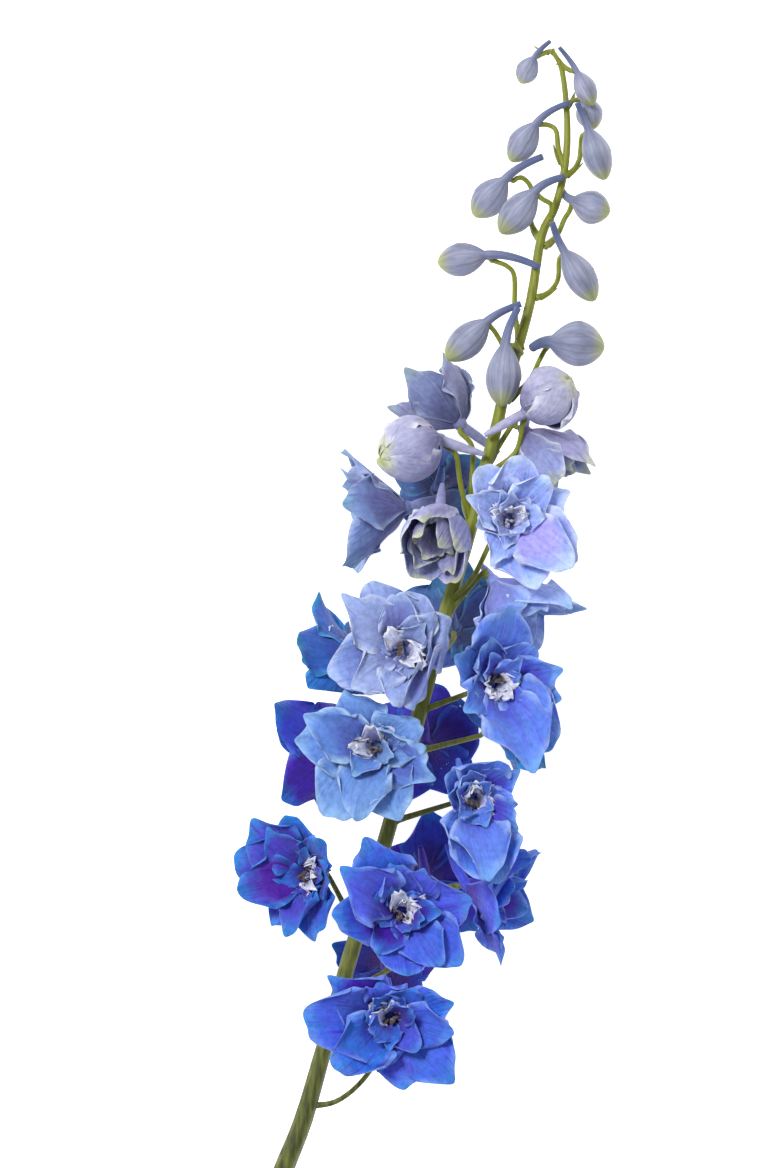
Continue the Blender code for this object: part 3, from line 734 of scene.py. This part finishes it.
def whorls(bloom):
    """A floret's outer and inner ring: lean, flare, layer, and the turn and reach of each petal."""
    lean, flare = 85 - 55 * bloom.opening, -85 + 180 * bloom.opening
    rings = [(lean, flare, 0.0), (lean * 0.75, flare * 0.9, INNER_LAYER)]
    if bloom.petals:
        plans = [[(math.radians(turn), reach) for turn, reach in plan] for plan in bloom.petals]
        return [(*ring, plan) for ring, plan in zip(rings, plans)]
    start = math.radians(bloom.turn)
    counts = 5, bloom.inner
    lengths = bloom.length, bloom.length * 0.82
    starts = start, start + math.pi / 5
    found = []
    for (lean, flare, layer), count, length, start in zip(rings, counts, lengths, starts):
        reach = RING + length * float(swing(lean, flare, 1.0)[0][0])
        found.append((lean, flare, layer, [(start + math.tau * k / count, reach) for k in range(count)]))
    return found


def petal(bm, flower, turn, size, ring, wrap, rng, fine, walls, frill, grid):
    """One petal: a grid that starts as a claw on the receptacle and ends broad, with a waved edge.

    Size is its length and width, and ring its lean and flare and the layer that it stands on.
    Wrap closes it round the flower, and frill is how much its edge waves.
    """
    (length, width), (lean, flare, layer), (rows, columns) = size, ring, grid
    base, facing, up, side = flower
    tag = bm.verts.layers.float_vector.get("place") or bm.verts.layers.float_vector.new("place")
    sway, twist, wave = rng.uniform(-0.1, 0.1), rng.uniform(0.06, 0.14), rng.uniform(0, math.tau)
    fold, cup, curl = fine.uniform(-0.15, 0.35), fine.uniform(0.04, 0.34), fine.uniform(-24, 34)
    ripple, lobes, shade = fine.uniform(0, math.tau), fine.uniform(0, math.tau), fine.random()
    point, notch = fine.uniform(0.02, 0.11), fine.uniform(0.32, 0.46)
    verts = bmesh.ops.create_grid(bm, x_segments=rows, y_segments=columns, size=1)["verts"]
    # s runs from the claw to the tip, and v from one edge to the other.
    s = np.array([(vert.co.x + 1) / 2 for vert in verts])
    v = np.array([vert.co.y for vert in verts])
    edge, hand = abs(v), np.sign(v)
    # The end of the blade is rounded, comes to a small point and is waved between.
    brink = notch * edge**2.6 + 0.035 * np.sin(lobes + 7 * v) - point * np.exp(-((v / 0.17) ** 2))
    t = s * (1 - brink * s)
    # The claw is a sixth as wide as the blade, which is broadest at the shoulder.
    claw, shoulder = 0.16, 0.74
    beyond = ((s - shoulder) / (1 - shoulder)).clip(0)
    blade = np.sin(math.pi / 2 * np.minimum(s / shoulder, 1)) ** 1.35 * (1 - 0.16 * beyond**2)
    half = width / 2 * (claw + (1 - claw) * blade) * (1 + 0.06 * s * np.sin(ripple + 9 * s + 1.7 * hand))
    out, high, slope = swing(lean, flare, t)
    slope = slope + np.radians(curl) * t**4
    # The blade lifts off its own line: twisted, cupped and folded, frilled at the edge and the
    # tip, pleated along its length, and curled at the end.
    lift = half * (v * twist + v**2 * (cup + 0.1 * np.sin(wave + 5 * s)) + fold * edge * (1 - 0.5 * s))
    frills = edge**3 * np.sin(ripple + 13 * s + 2.2 * hand) + s**8 * np.sin(lobes + 6.5 * v)
    lift += half * frill * frills
    lift += half * 0.02 * np.cos(9.5 * v) * np.sin(math.pi * s)
    lift += length * 0.12 * math.sin(math.radians(curl)) * t**4
    outward = np.array(up * math.cos(turn + sway) + side * math.sin(turn + sway))
    ahead = np.array(facing)
    across = np.cross(ahead, outward)
    far = out * length + RING
    round_it = (v * half / np.maximum(far, 2.5)).clip(-1.15, 1.15)
    over = far * (1 - wrap + wrap * np.cos(round_it))
    aside = v * half * (1 - wrap) + wrap * far * np.sin(round_it)
    p = np.array(base) + ahead * (layer + high * length)[:, None] + outward * over[:, None]
    p = p + across * aside[:, None]
    p = p + (ahead * np.sin(slope)[:, None] - outward * np.cos(slope)[:, None]) * lift[:, None]
    for vert, spot, along, beside in zip(verts, press(p, walls, layer), s, v):
        vert.co = Vector(spot) * MM
        vert[tag] = (along, beside, shade)


def thicken(sheet, thickness):
    """Gives a sheet its thickness to both sides."""
    modifier = sheet.modifiers.new("thickness", "SOLIDIFY")
    modifier.thickness = thickness * MM
    modifier.offset = 0


# The colours of each kind of floret: its throat, darkened with painted shade, the warm and the
# cool parts of its blade, its thin pale rim, lightened with a painted highlight, and its tip. The
# lilac of the young ones turns to royal blue with a violet throat. The kinds for the florets that
# hang face down on the shaded side are their violet, teal and slate darkened with painted shade.
PETAL_COLOURS = {
    "half_open_lilac": ("#7E7BA6", "#B4B3D0", "#A2A5C8", "#E0E1EC", "#ADB45E"),
    "hooded_lilac": ("#6C699C", "#9A98C4", "#8C97C4", "#D2D7E2", "#BCC296"),
    # Slate lilac is the lilac of a floret that hangs face down, darkened with painted shade.
    "slate_lilac_in_painted_shade": ("#50547E", "#8688AE", "#7480AA", "#A0AAC8", "#869A9E"),
    "slate_blue": ("#5C6098", "#8A90C0", "#7890C2", "#A8B8D8", "#6A9CB8"),
    "pale_sky": ("#A8A2EC", "#A9BBF6", "#8EACF2", "#DCE6FF", "#B2CAF4"),
    "sky_side": ("#7680C8", "#A0B2EC", "#86A6E6", "#C8D9F9", "#86B0DC"),
    "grey_lavender": ("#6E74B8", "#95A6DA", "#8098D6", "#C8D4F2", "#98B0E0"),
    "powder_blue": ("#5064B6", "#6E96D4", "#5C86D0", "#A8C8EE", "#7AA8DC"),
    "periwinkle": ("#463CBC", "#6080E2", "#4C80DA", "#A0BCF4", "#5A94DC"),
    "azure_violet": ("#480E98", "#4A3CBC", "#2466C8", "#2E84D6", "#1E7AC4"),
    "royal": ("#3A069E", "#4A5AD8", "#2A6CD6", "#789CF0", "#2A7CD2"),
    # The next three are the violet, teal and slate of florets that hang face down, darkened with painted
    # shade.
    "violet_in_painted_shade": ("#300A7C", "#421AA0", "#3240B8", "#2E68CC", "#2070B4"),
    "teal_in_painted_shade": ("#303A92", "#3464B8", "#207CC0", "#449ED8", "#2084AA"),
    "dark_slate_in_painted_shade": ("#30386E", "#4860A2", "#387096", "#528AB2", "#387C88"),
    "centre": ("#A8A6DC", "#E2E4F6", "#CCD6F5", "#FAFBFF", "#EEF1FB"),
}
PETAL_KIND = {
    "bud_14": "half_open_lilac", "bloom_01": "half_open_lilac", "bloom_02": "hooded_lilac",
    "bloom_03": "slate_lilac_in_painted_shade", "bloom_04": "pale_sky", "bloom_05": "slate_blue",
    "bloom_06": "hooded_lilac", "bloom_07": "sky_side", "bloom_08": "dark_slate_in_painted_shade",
    "bloom_09": "dark_slate_in_painted_shade", "bloom_10": "teal_in_painted_shade", "bloom_11": "grey_lavender",
    "bloom_12": "periwinkle", "bloom_13": "powder_blue", "bloom_14": "violet_in_painted_shade",
    "bloom_15": "periwinkle", "bloom_16": "teal_in_painted_shade", "bloom_17": "violet_in_painted_shade",
    "bloom_18": "azure_violet", "bloom_19": "royal", "bloom_20": "royal",
    "bloom_21": "royal", "bloom_22": "violet_in_painted_shade", "bloom_23": "violet_in_painted_shade",
}


# Delphinium petal: matt and crumpled, finely streaked from the claw to the edge, with light
# passing through its thin tissue, so that it has no gloss and its shaded parts stay coloured.
# Painted shade darkens its throat and its creases, painted light and shade lie on its crumples,
# and a painted highlight lies along its rim.
def petal_skin(name, kind):
    throat_and_shade_colour, warm, cool, pale_edge_and_highlight_colour, tip_colour = map(linear, PETAL_COLOURS[kind])
    material, tree, shader = living(name, 0.6, 0.15, 0.15, 1.2)
    # Place holds how far along the petal a point is, how far across it, and the petal's own shade.
    place = add(tree, "Attribute", {"attribute_name": "place"})
    axes = add(tree, "SeparateXYZ", links={"Vector": place.outputs["Vector"]})
    along, across, shade = (axes.outputs[axis] for axis in "XYZ")
    side = add(tree, "Math", {"operation": "ABSOLUTE"}, {0: across})
    spot = add(tree, "TexCoord")
    # The blade is clouded between warm and cool over about 6 mm, and each petal leans to one.
    cloud = add(
        tree, "TexNoise", {"Scale": 0.16 / MM, "Detail": 3.0}, {"Vector": spot.outputs["Object"]}
    )
    leaning = add(
        tree, "Math", {"operation": "MULTIPLY_ADD", 1: 1.4}, {0: shade, 2: cloud.outputs["Fac"]}
    )
    mixed = add(tree, "MapRange", {"From Min": 0.8, "From Max": 1.5}, {"Value": leaning.outputs[0]})
    blade = add(tree, "Mix", {"data_type": "RGBA", 6: warm, 7: cool}, {0: mixed.outputs["Result"]})
    # The throat's colour, the floret's own violet deepened with painted shade, runs out along the
    # petal, further in some petals and along its middle.
    deep = add(
        tree, "MapRange", {"From Min": 0.66, "From Max": 0.92, "To Max": -0.45}, {"Value": shade}
    )
    shorter = add(tree, "Math", {"operation": "ADD"}, {0: along, 1: deep.outputs["Result"]})
    spread = add(
        tree, "Math", {"operation": "MULTIPLY_ADD", 1: 0.16},
        {0: side.outputs[0], 2: shorter.outputs[0]},
    )
    reach = add(
        tree, "Math", {"operation": "MULTIPLY_ADD", 1: -0.5},
        {0: cloud.outputs["Fac"], 2: spread.outputs[0]},
    )
    throat = add(
        tree, "MapRange", {"From Min": -0.1, "From Max": 0.42, "interpolation_type": "SMOOTHSTEP"},
        {"Value": reach.outputs[0]},
    )
    based = add(
        tree, "Mix", {"data_type": "RGBA", 6: throat_and_shade_colour},
        {0: throat.outputs["Result"], 7: blade.outputs[2]},
    )
    # The rim, about 2 mm wide, is thin and pale, and a painted highlight lightens it further.
    border = add(
        tree, "MapRange", {"From Min": 0.74, "From Max": 1.0, "To Max": 0.9},
        {"Value": side.outputs[0]},
    )
    end = add(
        tree, "MapRange", {"From Min": 0.86, "From Max": 1.0, "To Max": 0.9}, {"Value": along}
    )
    edge_and_highlight = add(
        tree, "Math", {"operation": "MAXIMUM"},
        {0: border.outputs["Result"], 1: end.outputs["Result"]},
    )
    edged = add(
        tree, "Mix", {"data_type": "RGBA", 7: pale_edge_and_highlight_colour}, {0: edge_and_highlight.outputs[0], 6: based.outputs[2]}
    )
    # The middle of the tip keeps a touch of the bud's colour.
    middle = add(
        tree, "Math", {"operation": "MULTIPLY_ADD", 1: -0.35}, {0: side.outputs[0], 2: along}
    )
    point = add(
        tree, "MapRange", {"From Min": 0.74, "From Max": 0.95, "To Max": 0.85},
        {"Value": middle.outputs[0]},
    )
    tipped = add(
        tree, "Mix", {"data_type": "RGBA", 7: tip_colour},
        {0: point.outputs["Result"], 6: edged.outputs[2]},
    )
    # Streaks run along the petal, 1.4 mm wide, and its tissue is crumpled over 1.7 mm. The streaks
    # make it lighter and darker in its own tone, and the crumples make it lighter and darker with
    # painted light and shade. The streaks also darken it with painted shade in its creases, in the
    # throat's colour.
    stretched = add(
        tree, "Mapping", {"Scale": (1.6, 6.5, 37.0)}, {"Vector": place.outputs["Vector"]}
    )
    streaks = add(
        tree, "TexNoise", {"Scale": 1.0, "Detail": 4.0, "Roughness": 0.6},
        {"Vector": stretched.outputs[0]},
    )
    crumple = add(
        tree, "TexNoise", {"Scale": 0.6 / MM, "Detail": 2.0}, {"Vector": spot.outputs["Object"]}
    )
    streaks_and_crumple_shade = add(
        tree, "Math", {"operation": "ADD"}, {0: streaks.outputs["Fac"], 1: crumple.outputs["Fac"]}
    )
    light = add(
        tree, "MapRange", {"From Min": 0.65, "From Max": 1.35, "To Min": 0.74, "To Max": 1.26},
        {"Value": streaks_and_crumple_shade.outputs[0]},
    )
    crease_shade = add(
        tree, "MapRange", {"From Min": 0.5, "From Max": 0.7, "To Max": 0.7},
        {"Value": streaks.outputs["Fac"]},
    )
    creased = add(
        tree, "Mix", {"data_type": "RGBA", 7: throat_and_shade_colour},
        {0: crease_shade.outputs["Result"], 6: tipped.outputs[2]},
    )
    mottled = add(
        tree, "HueSaturation", links={"Value": light.outputs[0], "Color": creased.outputs[2]}
    )
    relief = add(
        tree, "Math", {"operation": "MULTIPLY_ADD", 1: 0.5},
        {0: crumple.outputs["Fac"], 2: streaks.outputs["Fac"]},
    )
    bumps = add(
        tree, "Bump", {"Strength": 0.9, "Distance": 0.8 * MM}, {"Height": relief.outputs[0]}
    )
    tree.links.new(mottled.outputs["Color"], shader.inputs["Base Color"])
    tree.links.new(bumps.outputs["Normal"], shader.inputs["Normal"])
    return material


PETAL_THICKNESS = 0.28
BROAD_GRID, SMALL_GRID = (13, 10), (9, 7)
# A third ring of small crumpled petals stands up between the inner ring and the stamens of each
# floret that has opened this far.
OPEN_FROM = 0.45
CROWN_PETALS, CROWN_LAYER, CROWN_FRILL = 8, 2.6, 0.34
# The radii along a spur and along the receptacle, which swells where the petals start.
SPUR_RADII = (1.5, 1.5, 1.1, 0.7)
HUB = {-2.6: 0.9, -2.0: 1.5, -0.8: 2.0, 0.6: 2.3, 1.8: 2.5, 2.6: 1.6}
for number, (name, bloom) in enumerate(BLOOMS.items()):
    rng, fine = random.Random(number), random.Random(500 + number)
    walls = walls_of(name)
    flower = base, facing, up, side = frame_of(bloom)
    # Only the florets that are still half closed wrap their petals round themselves.
    wrap = min(max(1.15 - 1.6 * bloom.opening, 0), 1)
    bm = bmesh.new()
    # The inner ring's petals are narrower and more frilled than the outer ones.
    for (lean, flare, layer, plan), narrow, frill in zip(whorls(bloom), (1, 0.85), (0.15, 0.26)):
        unit = float(swing(lean, flare, 1.0)[0][0])
        for turn, reach in plan:
            length = (reach - RING) / unit * rng.uniform(0.95, 1.05)
            # A petal is three quarters as wide as it is long, and broader in an open floret.
            size = length, length * (0.72 + 0.14 * bloom.opening) * narrow
            ring = lean, flare, layer
            petal(bm, flower, turn, size, ring, wrap, rng, fine, walls, frill, BROAD_GRID)
    if bloom.opening >= OPEN_FROM:
        room = min(1.0, bloom.opening * 2 - 0.7)
        for k in range(CROWN_PETALS):
            turn = math.radians(bloom.turn) + math.tau * (k + fine.uniform(-0.3, 0.3)) / CROWN_PETALS
            length = bloom.length * fine.uniform(0.38, 0.64)
            size, lean = (length, length * fine.uniform(0.55, 0.8)), fine.uniform(8, 30)
            ring = lean, lean + fine.uniform(10, 60) * room, CROWN_LAYER
            petal(bm, flower, turn, size, ring, 0, fine, fine, walls, CROWN_FRILL, SMALL_GRID)
    skin = petal_skin(f"petal_skin_{name}", PETAL_KIND[name])
    petals = piece(name + "_petals", bm, skin)
    thicken(petals, PETAL_THICKNESS)
    smooth = petals.modifiers.new("smooth", "SUBSURF")
    smooth.levels = smooth.render_levels = 1
    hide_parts(name)
    bm = bmesh.new()
    # The spur and the receptacle have the colours of the middle of a petal and of its claw.
    line = bend(spur_line(bloom), 6)
    radii = np.interp(np.linspace(0, 3, len(line)), range(4), SPUR_RADII)
    sleeve(bm, line, radii, 16, mark=lambda angle, share: (0.55, 0.2, 0.3))
    hub = [base + facing * ahead for ahead in HUB]
    sleeve(bm, hub, HUB.values(), 16, mark=lambda angle, share: (0.4, 0.2, 0.3))
    spur = piece(name + "_spur", bm, skin)

# Centres. In each open floret stand eight small pale petals, notched and waved, on one side of
# nine stamens with pale filaments, whose anthers are pale too until they ripen to brown.
CENTRE_PETALS, CENTRE_THICKNESS, CENTRE_LAYER, CENTRE_FRILL = 8, 0.25, 3.4, 0.45
STAMENS, FILAMENT = 9, 0.2
# An anther's radii by how far they stand beyond the filament's end.
ANTHER = {-0.5: 0.2, -0.2: 0.5, 0.3: 0.5, 0.7: 0.2}
white_petal = petal_skin("pale_centre_petal", "centre")
# Anthers are dry and dusty with pollen, so that they have hardly any gloss.
anthers = {}
for name, colour in (("unripe_anther", "#A8A4B4"), ("ripe_anther", "#5A4A34")):
    anthers[name], tree, shader = living(name, 0.8, 0.3, 0.0, 1.0)
    shader.inputs["Base Color"].default_value = linear(colour)
for number, (name, bloom) in enumerate(BLOOMS.items()):
    if name + "_bee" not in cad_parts:
        continue
    rng = random.Random(100 + number)
    flower = base, facing, up, side = frame_of(bloom)
    bm = bmesh.new()
    heading = rng.uniform(0, math.tau)
    room = max(bloom.opening - OPEN_FROM, 0) * 2
    for k in range(CENTRE_PETALS):
        turn = heading + rng.uniform(-1.9, 1.9)
        length, lean = rng.uniform(5.5, 6.0 + 4 * room), rng.uniform(0, 35) * room
        width, flare = length * rng.uniform(0.5, 0.8), lean + rng.uniform(20, 75) * room
        size, ring = (length, width), (lean, flare, CENTRE_LAYER)
        petal(bm, flower, turn, size, ring, 0, rng, rng, [], CENTRE_FRILL, SMALL_GRID)
    centre = piece(name + "_centre", bm, white_petal)
    thicken(centre, CENTRE_THICKNESS)
    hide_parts(name + "_bee")
    bm = bmesh.new()
    for k in range(STAMENS):
        turn = heading + math.pi + rng.uniform(-1.6, 1.6)
        outward = up * math.cos(turn) + side * math.sin(turn)
        root = base + facing * 2.4 + outward * 0.5
        end = base + facing * rng.uniform(6.0, 8.5) + outward * rng.uniform(0.6, 2.6)
        middle = (root + end) / 2 - outward * 0.3
        filament = bend([root, middle, end], 3)
        sleeve(bm, filament, [FILAMENT] * len(filament), 6)
        way = (end - middle).normalized()
        first = len(bm.faces)
        sleeve(bm, [end + way * ahead for ahead in ANTHER], ANTHER.values(), 8)
        bm.faces.ensure_lookup_table()
        for face in bm.faces[first:]:
            face.material_index = 1
    ripeness = "ripe_anther" if bloom.tone > 0.4 else "unripe_anther"
    stamens = piece(name + "_stamens", bm, white_petal, anthers[ripeness])

# Ground and light. A plain white table under a big soft light from above, brighter from the top
# left, as in a small studio. The camera hangs over the spike with a long lens.

# White matt laminate. It glows a little, because the photograph's ground is pure white.
table, tree, shader = living("white_matt_laminate", 0.9, 0.0, 0.0, 1.0)
shader.inputs["Base Color"].default_value = linear("#FAFAFA")
shader.inputs["Emission Color"].default_value = linear("#FFFFFF")
shader.inputs["Emission Strength"].default_value = 0.8
bm = bmesh.new()
bmesh.ops.create_grid(bm, x_segments=1, y_segments=1, size=3)
mesh = bpy.data.meshes.new("table")
bm.to_mesh(mesh)
bm.free()
mesh.materials.append(table)
ground = bpy.data.objects.new("table", mesh)
bpy.context.scene.collection.objects.link(ground)

world = bpy.data.worlds.new("studio")
bpy.context.scene.world = world
world.use_nodes = True
world.node_tree.nodes["Background"].inputs["Color"].default_value = linear("#FFFFFF")
world.node_tree.nodes["Background"].inputs["Strength"].default_value = 0.42

# Where each lamp hangs in metres, its side in metres and its power in watts.
LAMPS = {"key": ((-0.6, 0.6, 1.3), 0.4, 20), "fill": ((0.9, -0.3, 1.2), 1.2, 3)}
for name, (place, size, power) in LAMPS.items():
    light = bpy.data.lights.new(name, "AREA")
    light.size = size
    light.energy = power
    lamp = bpy.data.objects.new(name, light)
    lamp.location = place
    lamp.rotation_euler = (-Vector(place)).to_track_quat("-Z", "Y").to_euler()
    bpy.context.scene.collection.objects.link(lamp)

# The photograph is 350.4 mm tall in the plane of the florets' faces, whose middle is here. The
# camera is 3 m above that plane.
PHOTO_MIDDLE = (-12.3, 12.0)
PHOTO_HEIGHT = 350.4
FACES_AT = 30.0
AWAY = 3000.0
camera = bpy.data.objects.new("camera", bpy.data.cameras.new("camera"))
camera.data.sensor_width = 36
camera.data.lens = camera.data.sensor_width * AWAY / PHOTO_HEIGHT
camera.data.clip_end = 20
camera.location = (PHOTO_MIDDLE[0] * MM, PHOTO_MIDDLE[1] * MM, (FACES_AT + AWAY) * MM)
bpy.context.scene.collection.objects.link(camera)
bpy.context.scene.camera = camera
# Standard keeps the white ground white and the blues as bright as they are in the photograph.
bpy.context.scene.view_settings.view_transform = "Standard"
